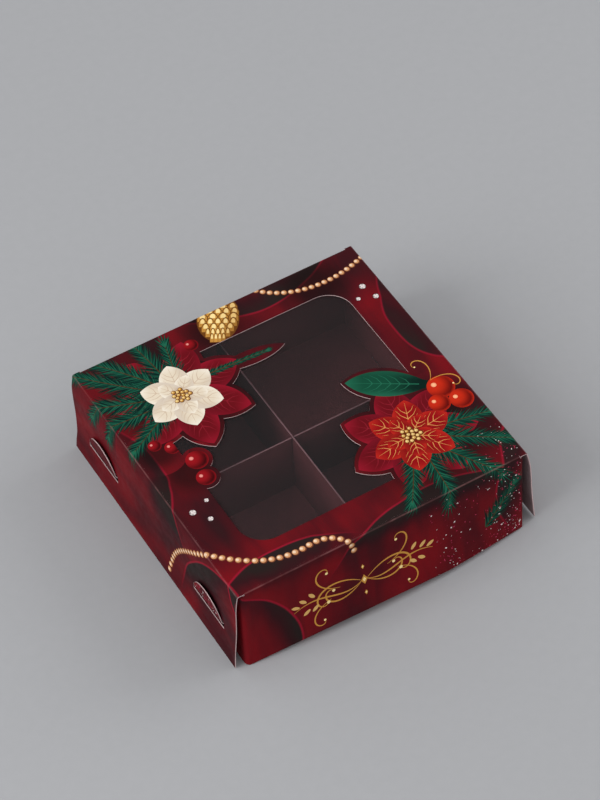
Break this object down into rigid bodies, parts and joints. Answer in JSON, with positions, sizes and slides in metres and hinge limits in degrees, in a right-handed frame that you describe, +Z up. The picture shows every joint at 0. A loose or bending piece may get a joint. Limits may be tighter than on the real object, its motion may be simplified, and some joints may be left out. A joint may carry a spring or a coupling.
{
  "type": "candy box",
  "caption": "Square folding-card candy box: a lift-off printed lid with a film window cut round flower shapes, over a tray parted into cells by slotted strips.",
  "frame": {"origin": "centre of the tray's underside, on the floor", "axes": "+X along the front edge to the right, +Y to the back, +Z up through the lid"},
  "size_m": [0.1115, 0.105, 0.035],
  "materials": {
    "printed_card": "satin coated board, printed burgundy with flowers and gold",
    "tray_card": "dark matte board",
    "divider_card": "dark matte board with paler cut edges",
    "clear_film": "clear glossy film"
  },
  "bodies": {
    "tray": {"tray_bottom": "tray_card", "tray_front_wall": "tray_card", "tray_back_wall": "tray_card", "tray_left_wall": "tray_card", "tray_right_wall": "tray_card", "tray_left_liner": "tray_card", "tray_right_liner": "tray_card", "tray_front_left_ear": "tray_card", "tray_front_right_ear": "tray_card", "tray_back_left_ear": "tray_card", "tray_back_right_ear": "tray_card"},
    "lid": {"lid_top_panel": "printed_card", "window_film": "clear_film"},
    "lid_left": {"lid_left_wall": "printed_card"},
    "lid_right": {"lid_right_wall": "printed_card"},
    "lid_front": {"lid_front_wall": "printed_card", "lid_front_left_ear": "printed_card", "lid_front_right_ear": "printed_card"},
    "lid_back": {"lid_back_wall": "printed_card", "lid_back_left_ear": "printed_card", "lid_back_right_ear": "printed_card"},
    "front_left_tongue": {"lid_front_left_tongue": "printed_card"},
    "front_right_tongue": {"lid_front_right_tongue": "printed_card"},
    "back_left_tongue": {"lid_back_left_tongue": "printed_card"},
    "back_right_tongue": {"lid_back_right_tongue": "printed_card"},
    "divider_cross": {"divider_cross_strip": "divider_card"},
    "divider_long": {"divider_long_strip": "divider_card"}
  },
  "joints": [
    {"name": "lid_lift", "type": "slide", "parent": "tray", "child": "lid", "axis": [0, 0, 1], "range_m": [0, 0.09]},
    {"name": "lid_left_fold", "type": "hinge", "parent": "lid", "child": "lid_left", "pos_m": [-0.0525, 0, 0.035], "axis": [0, 1, 0], "range_deg": [-1.5, 88.5], "deforming": ["lid_front_left_tongue", "lid_back_left_tongue"]},
    {"name": "lid_right_fold", "type": "hinge", "parent": "lid", "child": "lid_right", "pos_m": [0.0525, 0, 0.035], "axis": [0, -1, 0], "range_deg": [-7.5, 82.5], "deforming": ["lid_front_right_tongue", "lid_back_right_tongue"]},
    {"name": "lid_front_fold", "type": "hinge", "parent": "lid", "child": "lid_front", "pos_m": [0, -0.0525, 0.035], "axis": [-1, 0, 0], "range_deg": [0, 90]},
    {"name": "lid_back_fold", "type": "hinge", "parent": "lid", "child": "lid_back", "pos_m": [0, 0.0525, 0.035], "axis": [1, 0, 0], "range_deg": [0, 90]},
    {"name": "front_left_tongue_bend", "type": "hinge", "parent": "lid_front", "child": "front_left_tongue", "pos_m": [-0.0514, -0.0341, 0.0096], "axis": [0, -1, 0], "range_deg": [0, 35], "stiffness_Nm_per_rad": 0.00004, "springref_deg": -3.44},
    {"name": "front_right_tongue_bend", "type": "hinge", "parent": "lid_front", "child": "front_right_tongue", "pos_m": [0.0514, -0.0341, 0.0096], "axis": [0, 1, 0], "range_deg": [0, 35], "stiffness_Nm_per_rad": 0.00004, "springref_deg": -3.44},
    {"name": "back_left_tongue_bend", "type": "hinge", "parent": "lid_back", "child": "back_left_tongue", "pos_m": [-0.0514, 0.0341, 0.0096], "axis": [0, -1, 0], "range_deg": [0, 35], "stiffness_Nm_per_rad": 0.00004, "springref_deg": -3.44},
    {"name": "back_right_tongue_bend", "type": "hinge", "parent": "lid_back", "child": "back_right_tongue", "pos_m": [0.0514, 0.0341, 0.0096], "axis": [0, 1, 0], "range_deg": [0, 35], "stiffness_Nm_per_rad": 0.00004, "springref_deg": -3.44},
    {"name": "divider_cross_lift", "type": "slide", "parent": "tray", "child": "divider_cross", "axis": [0, 0, 1], "range_m": [0, 0.037]},
    {"name": "divider_long_lift", "type": "slide", "parent": "tray", "child": "divider_long", "axis": [0, 0, 1], "range_m": [0, 0.068]}
  ],
  "couplings": [
    {"joint": "divider_cross_lift", "follows": "lid_lift", "ratio": 0.4},
    {"joint": "divider_long_lift", "follows": "lid_lift", "ratio": 0.75}
  ]
}
